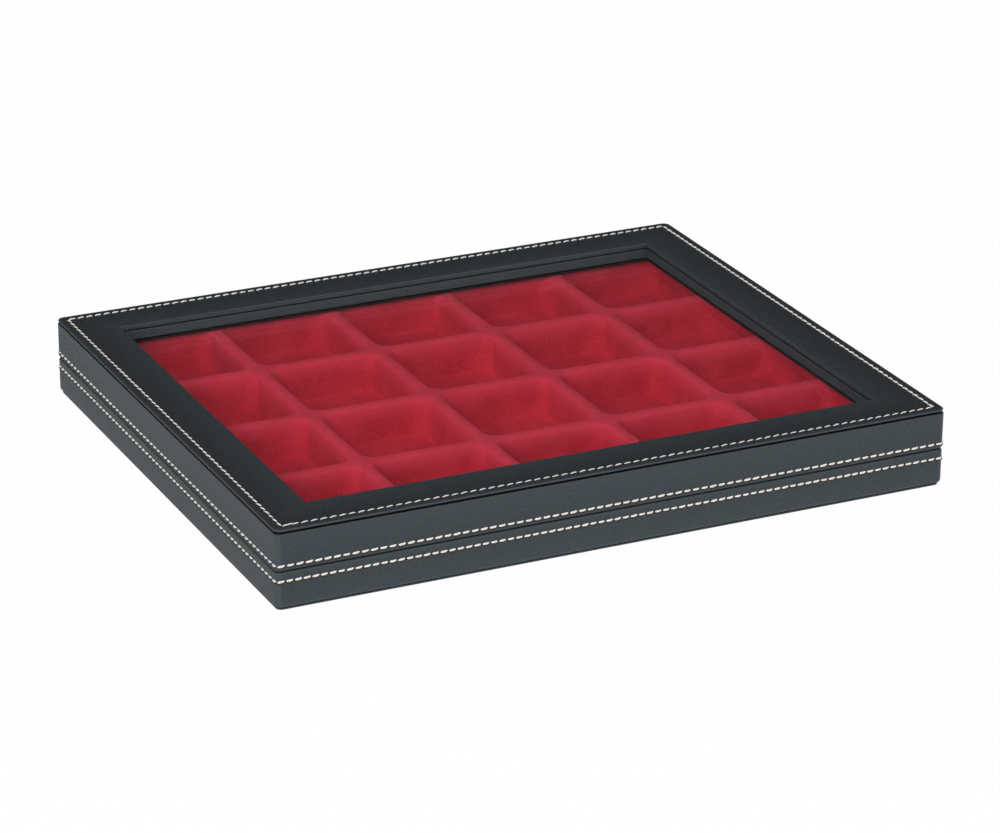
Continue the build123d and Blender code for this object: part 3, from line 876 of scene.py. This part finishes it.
def add_rim(piece):
    work = bmesh.new()
    work.from_mesh(piece.data)
    half = (CELLS_ALONG * CELL_PITCH / 2, CELLS_DEEP * CELL_PITCH / 2)
    outer = (TRAY_HIGH[0], TRAY_HIGH[1])
    steps = [(RIM_ROUND, TRAY_TOP)]
    for step in range(1, EDGE_STEPS + 1):
        angle = math.radians(90 * step / EDGE_STEPS)
        steps.append((RIM_ROUND - RIM_ROUND * math.sin(angle), TRAY_TOP - RIM_ROUND * (1 - math.cos(angle))))
    steps.append((0, TRAY_LOW[2] + SHEET / 2))
    border = [edge for edge in work.edges if edge.is_boundary]
    starts = {vert: (vert.co.x, vert.co.y) for edge in border for vert in edge.verts}
    for inward, height in steps:
        made = bmesh.ops.extrude_edge_only(work, edges=border)["geom"]
        fresh = [item for item in made if isinstance(item, bmesh.types.BMVert)]
        grown = (outer[0] - inward, outer[1] - inward)
        for vert in fresh:
            vert.co.x, vert.co.y = rim_point(vert.co.x, vert.co.y, half, grown)
            vert.co.z = height
        half = grown
        border = [item for item in made if isinstance(item, bmesh.types.BMEdge) and item.is_boundary]
    for face in work.faces:
        face.smooth = True
    bmesh.ops.recalc_face_normals(work, faces=work.faces)
    lowest = min(work.faces, key=lambda face: abs(face.calc_center_median().z - FLOOR_Z) - face.calc_area())
    if lowest.normal.z < 0:
        bmesh.ops.reverse_faces(work, faces=work.faces)
    work.to_mesh(piece.data)
    work.free()
    print("rim starts from", len(starts), "border points")


add_rim(tray)
thicken = tray.modifiers.new("sheet", "SOLIDIFY")
thicken.thickness = SHEET
thicken.offset = -1
bake_modifiers(tray)
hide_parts("coin_tray")
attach(tray, "base")
print("tray:", len(tray.data.polygons), "faces")

# %% [markdown]
# ## The stitching
#
# A stitch shows as a short arch of thread that dives into a needle hole at each end. One stitch is a curve with a
# round section that thins at its ends; Geometry Nodes sets it along a line, turns each one a little, and makes the
# result real. Four lines make one row round the case. A row has whole stitches on each side and meets at the
# corners, as a sewing machine turns there with its needle down.

# %% Geometry Nodes: stitches along a line
STITCH_INPUTS = {
    "Start": "NodeSocketVector",
    "End": "NodeSocketVector",
    "Turn": "NodeSocketVector",
    "Count": "NodeSocketInt",
    "Length": "NodeSocketFloat",
    "Thickness": "NodeSocketFloat",
    "Slant": "NodeSocketFloat",
    "Seed": "NodeSocketInt",
    "Thread": "NodeSocketMaterial",
    "Painted Shadow": "NodeSocketMaterial",
}
SHADOW_PATCH_RISE = 0.27 * MM
THREAD_FLAT = 0.7


def stitch_tree():
    tree, given, result = new_tree("stitches_along_a_line", STITCH_INPUTS)

    def math_node(operation, first, second=0.0):
        return add(tree, "ShaderNodeMath", {"operation": operation}, _0=first, _1=second).outputs[0]

    half = math_node("MULTIPLY", given.outputs["Length"], 0.5)
    minus_half = math_node("MULTIPLY", half, -1.0)
    sink = math_node("MULTIPLY", given.outputs["Thickness"], -0.3)
    rise = math_node("MULTIPLY", given.outputs["Thickness"], 0.42)
    start = add(tree, "ShaderNodeCombineXYZ", X=minus_half, Z=sink)
    end = add(tree, "ShaderNodeCombineXYZ", X=half, Z=sink)
    quarter = math_node("MULTIPLY", half, 0.62)
    minus_quarter = math_node("MULTIPLY", quarter, -1.0)
    start_pull = add(tree, "ShaderNodeCombineXYZ", X=minus_quarter, Z=rise)
    end_pull = add(tree, "ShaderNodeCombineXYZ", X=quarter, Z=rise)
    arch = add(
        tree, "GeometryNodeCurvePrimitiveBezierSegment", {"mode": "POSITION"}, Resolution=8, Start=start.outputs[0],
        Start_Handle=start_pull.outputs[0], End_Handle=end_pull.outputs[0], End=end.outputs[0],
    )
    arch = add(tree, "GeometryNodeResampleCurve", Curve=arch.outputs[0], Count=11)
    along = add(tree, "GeometryNodeSplineParameter").outputs["Factor"]
    swell = math_node("SINE", math_node("MULTIPLY", along, math.pi))
    body = math_node("POWER", math_node("MAXIMUM", swell, 0.02), 0.2)
    thickness = math_node("MULTIPLY", body, math_node("MULTIPLY", given.outputs["Thickness"], 0.5))
    thread_path = add(tree, "GeometryNodeSetCurveRadius", Curve=arch.outputs[0], Radius=thickness)
    keep_along = add(
        tree, "GeometryNodeStoreNamedAttribute", {"data_type": "FLOAT", "domain": "POINT"},
        Geometry=thread_path.outputs[0], Name="along", Value=along,
    )
    ring = add(tree, "GeometryNodeCurvePrimitiveCircle", Resolution=8, Radius=1.0)
    around = add(tree, "GeometryNodeSplineParameter").outputs["Factor"]
    keep_around = add(
        tree, "GeometryNodeStoreNamedAttribute", {"data_type": "FLOAT", "domain": "POINT"},
        Geometry=ring.outputs[0], Name="around", Value=around,
    )
    tube = add(tree, "GeometryNodeCurveToMesh", Curve=keep_along.outputs[0], Profile_Curve=keep_around.outputs[0])
    tube.inputs["Fill Caps"].default_value = True
    if "Scale" in tube.inputs:
        radius = add(tree, "GeometryNodeInputRadius")
        tree.links.new(radius.outputs[0], tube.inputs["Scale"])
    read_along = add(tree, "GeometryNodeInputNamedAttribute", {"data_type": "FLOAT"}, Name="along")
    read_around = add(tree, "GeometryNodeInputNamedAttribute", {"data_type": "FLOAT"}, Name="around")
    place = add(tree, "ShaderNodeCombineXYZ", X=read_along.outputs[0], Y=read_around.outputs[0])
    uv = add(
        tree, "GeometryNodeStoreNamedAttribute", {"data_type": "FLOAT2", "domain": "CORNER"},
        Geometry=tube.outputs[0], Name="thread", Value=place.outputs[0],
    )
    smooth = add(tree, "GeometryNodeSetShadeSmooth", Geometry=uv.outputs[0])
    yarn = add(tree, "GeometryNodeSetMaterial", Geometry=smooth.outputs[0], Material=given.outputs["Thread"])

    # A painted shadow: a dark flat patch set a little below each stitch, where its shadow falls.
    disc = add(tree, "GeometryNodeMeshUVSphere", Segments=14, Rings=6, Radius=1.0)
    shadow_length = math_node("MULTIPLY", given.outputs["Length"], 0.56)
    shadow_width = math_node("MULTIPLY", given.outputs["Thickness"], 0.85)
    shadow_size = add(tree, "ShaderNodeCombineXYZ", X=shadow_length, Y=shadow_width, Z=SHADOW_PATCH_RISE)
    shadow_down = add(tree, "ShaderNodeCombineXYZ", Y=math_node("MULTIPLY", given.outputs["Thickness"], -0.5), Z=0.5 * SHADOW_PATCH_RISE)
    shadow_patch = add(
        tree, "GeometryNodeTransform", Geometry=disc.outputs["Mesh"], Scale=shadow_size.outputs[0],
        Translation=shadow_down.outputs[0],
    )
    dark = add(tree, "GeometryNodeSetMaterial", Geometry=shadow_patch.outputs[0], Material=given.outputs["Painted Shadow"])
    both = tree.nodes.new("GeometryNodeJoinGeometry")
    tree.links.new(dark.outputs[0], both.inputs[0])
    tree.links.new(yarn.outputs[0], both.inputs[0])

    line = add(tree, "GeometryNodeMeshLine", {"mode": "END_POINTS"}, Count=given.outputs["Count"])
    tree.links.new(given.outputs["Start"], line.inputs["Start Location"])
    tree.links.new(given.outputs["End"], line.inputs["Offset"])
    sway = add(
        tree, "FunctionNodeRandomValue", {"data_type": "FLOAT"}, Seed=given.outputs["Seed"],
    )
    sway.inputs[2].default_value = -0.05
    sway.inputs[3].default_value = 0.05
    slant = math_node("ADD", given.outputs["Slant"], sway.outputs[1])
    own_turn = add(tree, "ShaderNodeCombineXYZ", Z=slant)
    base_turn = add(tree, "FunctionNodeEulerToRotation", Euler=given.outputs["Turn"])
    small_turn = add(tree, "FunctionNodeEulerToRotation", Euler=own_turn.outputs[0])
    turned = add(
        tree, "FunctionNodeRotateRotation", {"rotation_space": "LOCAL"}, Rotation=base_turn.outputs[0],
        Rotate_By=small_turn.outputs[0],
    )
    size = add(tree, "FunctionNodeRandomValue", {"data_type": "FLOAT"}, Seed=given.outputs["Seed"])
    size.inputs[2].default_value = 0.94
    size.inputs[3].default_value = 1.04
    flat = math_node("MULTIPLY", size.outputs[1], THREAD_FLAT)
    own_size = add(tree, "ShaderNodeCombineXYZ", X=size.outputs[1], Y=size.outputs[1], Z=flat)
    copies = add(
        tree, "GeometryNodeInstanceOnPoints", Points=line.outputs["Mesh"], Instance=both.outputs[0],
        Rotation=turned.outputs[0], Scale=own_size.outputs[0],
    )
    real = add(tree, "GeometryNodeRealizeInstances", Geometry=copies.outputs[0])
    tree.links.new(real.outputs[0], result.inputs[0])
    return tree


stitches = stitch_tree()

# %% [markdown]
# The pitches were counted on the photograph: 73, 77 and 82 stitches along the front in the three rows from the top,
# and a little fewer per length on the sides. A stitch covers about four fifths of its pitch. At the back the lid's
# row stops at each hinge, whose stop lug lies over it.

# %% Three rows of stitches
TOP_PITCH = (4.38 * MM, 4.48 * MM)
LID_PITCH = (4.28 * MM, 4.43 * MM)
BASE_PITCH = (4.0 * MM, 4.355 * MM)
TOP_SHARE = 0.84
SIDE_SHARE = 0.76
THREAD_THICK = 1.08 * MM
TOP_SLANT = math.radians(11)
SIDE_SLANT = math.radians(5)


def row_lines(inset, height, normal_out):
    """Start, end and turn of the four lines of one row; the stitches face up, or outward on the walls."""
    x = HALF_X - inset
    y = HALF_Y - inset
    corners = [(-x, -y), (x, -y), (x, y), (-x, y)]
    lines = []
    for side in range(4):
        start = Vector((*corners[side], height))
        end = Vector((*corners[(side + 1) % 4], height))
        along = (end - start).normalized()
        outward = Vector((along.y, -along.x, 0))
        up = outward if normal_out else Vector((0, 0, 1))
        across = up.cross(along)
        turn = Matrix((along, across, up)).transposed().to_euler()
        lines.append((start, end, along, turn))
    return lines


def join(name, parts):
    """Joins plain mesh objects with the same materials into the first of them."""
    bpy.ops.object.select_all(action="DESELECT")
    for part in parts:
        part.select_set(True)
    bpy.context.view_layer.objects.active = parts[0]
    bpy.ops.object.join()
    parts[0].name = name
    return parts[0]


def run_stitches(name, first, last, turn, count, length, slant, seed):
    values = {
        "Start": first, "End": last, "Turn": Vector(turn), "Count": count, "Length": length,
        "Thickness": THREAD_THICK, "Slant": slant, "Seed": seed, "Thread": thread, "Painted Shadow": painted_stitch_shadow,
    }
    return run_tree(name, stitches, values)


def around_gaps(line, gaps):
    """Cuts the back line of a row, which runs from right to left, into the parts between gaps in x."""
    start, end, along, turn = line
    parts = []
    for low_x, high_x in sorted(gaps, reverse=True):
        parts.append((start, Vector((high_x, start.y, start.z)), along, turn))
        start = Vector((low_x, start.y, start.z))
    return parts + [(start, end, along, turn)]


def make_row(name, inset, height, normal_out, pitches, share, slant, end_room, body, overlap=0, gaps=()):
    """One row round the case; overlap is how many stitches the seam's end runs over its start, at the front left."""
    parts = []
    total = 0
    lines = list(enumerate(row_lines(inset, height, normal_out)))
    lines = lines[:2] + [(2, part) for part in around_gaps(lines[2][1], gaps)] + lines[3:]
    for side, (start, end, along, turn) in lines:
        length = (end - start).length - 2 * end_room
        count = round(length / pitches[side % 2])
        step = length / count
        first = start + along * (end_room + step / 2)
        last = end - along * (end_room + step / 2)
        parts.append(run_stitches(f"{name}_{len(parts)}", first, last, turn, count, share * step, slant, 11 + side))
        if side == 0 and overlap:
            across = Vector((0, 0, 1)).cross(along) * 0.3 * MM
            over_first = first + along * 0.45 * step + across
            over_last = over_first + along * (overlap - 1) * step
            parts.append(run_stitches(f"{name}_over", over_first, over_last, turn, overlap, share * step, slant, 5))
        total += count
    row = join(name, parts)
    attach(row, body)
    print(name, "has", total, "stitches,", len(row.data.polygons), "faces")
    return row


make_row(
    "lid_top_stitching", TOP_STITCH_IN, FRAME_TOP - TOP_VALLEY, False, TOP_PITCH, TOP_SHARE, TOP_SLANT, 0.1 * MM, "lid",
    overlap=1,
)
hinge_gaps = []
for side in ("left", "right"):
    low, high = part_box(f"hinge_{side}_lid_leaf")
    hinge_gaps.append((low[0] - 0.4 * MM, high[0] + 0.4 * MM))
make_row(
    "lid_side_stitching", VALLEY_DEPTH, LID_STITCH_HEIGHT, True, LID_PITCH, SIDE_SHARE, SIDE_SLANT, 0.2 * MM, "lid",
    gaps=hinge_gaps,
)
make_row(
    "base_side_stitching", VALLEY_DEPTH, BASE_STITCH_HEIGHT, True, BASE_PITCH, SIDE_SHARE, SIDE_SLANT, 0.2 * MM, "base"
)

# %% [markdown]
# ## Light, floor and background
#
# The photograph is lit from the front, so the walls are paler than the top. One large soft lamp stands there, a
# weaker one fills in from the right, and the sky is dim. The camera sees a white background. Metal and the pane see
# it too, but only as high as a paper backdrop reaches: above that the studio is dark, so the pane mirrors next to
# nothing from the photograph's angle.

# %% Light and floor
SKY_LIGHT = 0.38
STUDIO_DARK = 0.03
BACKDROP_FROM, BACKDROP_TO = -0.02, 0.06


def make_world():
    world = bpy.data.worlds.new("studio")
    bpy.context.scene.world = world
    world.use_nodes = True
    tree = world.node_tree
    tree.nodes.clear()
    rays = add(tree, "ShaderNodeLightPath")
    direction = add(tree, "ShaderNodeTexCoord").outputs["Generated"]
    height = add(tree, "ShaderNodeSeparateXYZ", Vector=direction).outputs["Z"]
    above = add(tree, "ShaderNodeMapRange", {"interpolation_type": "SMOOTHSTEP"}, Value=height)
    above.inputs["From Min"].default_value = BACKDROP_FROM
    above.inputs["From Max"].default_value = BACKDROP_TO
    above.inputs["To Min"].default_value = 1.0
    above.inputs["To Max"].default_value = STUDIO_DARK
    bounced = add(tree, "ShaderNodeMath", {"operation": "MAXIMUM"}, _0=rays.outputs["Is Glossy Ray"])
    tree.links.new(rays.outputs["Is Transmission Ray"], bounced.inputs[1])
    sky = add(tree, "ShaderNodeBackground", Color=(0.95, 0.97, 1, 1), Strength=SKY_LIGHT)
    mirrored = add(tree, "ShaderNodeBackground", Color=(1, 1, 1, 1), Strength=above.outputs[0])
    white = add(tree, "ShaderNodeBackground", Color=(1, 1, 1, 1), Strength=1.0)
    glossy = add(tree, "ShaderNodeMixShader", _0=bounced.outputs[0], _1=sky.outputs[0], _2=mirrored.outputs[0])
    mixed = add(tree, "ShaderNodeMixShader", _0=rays.outputs["Is Camera Ray"], _1=glossy.outputs[0], _2=white.outputs[0])
    output = tree.nodes.new("ShaderNodeOutputWorld")
    tree.links.new(mixed.outputs[0], output.inputs["Surface"])


def make_floor():
    material, tree = new_material("studio_floor")
    matt = add(tree, "ShaderNodeBsdfDiffuse", Color=(0.86, 0.86, 0.86, 1))
    plain = add(tree, "ShaderNodeEmission", Color=(1, 1, 1, 1), Strength=1.0)
    rays = add(tree, "ShaderNodeLightPath")
    glossy = add(tree, "ShaderNodeMath", {"operation": "MAXIMUM"}, _0=rays.outputs["Is Camera Ray"])
    tree.links.new(rays.outputs["Is Glossy Ray"], glossy.inputs[1])
    seen = add(tree, "ShaderNodeMath", {"operation": "MAXIMUM"}, _0=glossy.outputs[0])
    tree.links.new(rays.outputs["Is Transmission Ray"], seen.inputs[1])
    share = add(tree, "ShaderNodeMath", {"operation": "MULTIPLY"}, _0=seen.outputs[0], _1=0.98)
    mixed = add(tree, "ShaderNodeMixShader", _0=share.outputs[0], _1=matt.outputs[0], _2=plain.outputs[0])
    output = tree.nodes.new("ShaderNodeOutputMaterial")
    tree.links.new(mixed.outputs[0], output.inputs["Surface"])
    bpy.ops.mesh.primitive_plane_add(size=12, location=(0, 0, 0))
    floor = bpy.context.object
    floor.name = "studio_floor"
    floor.data.materials.append(material)


def lamp(name, place, size, power):
    """A square soft lamp that faces the case."""
    data = bpy.data.lights.new(name, "AREA")
    data.size = size
    data.energy = power
    light = bpy.data.objects.new(name, data)
    bpy.context.scene.collection.objects.link(light)
    aim = (Vector((0, 0, 0.02)) - Vector(place)).to_track_quat("-Z", "Y")
    light.matrix_world = Matrix.Translation(place) @ aim.to_matrix().to_4x4()


make_world()
make_floor()
lamp("front_softbox", (-1.75, -1.8, 1.9), 2.2, 62)
lamp("right_fill", (1.2, -2.7, 1.0), 2.6, 21)
bpy.context.scene.view_settings.view_transform = "Standard"
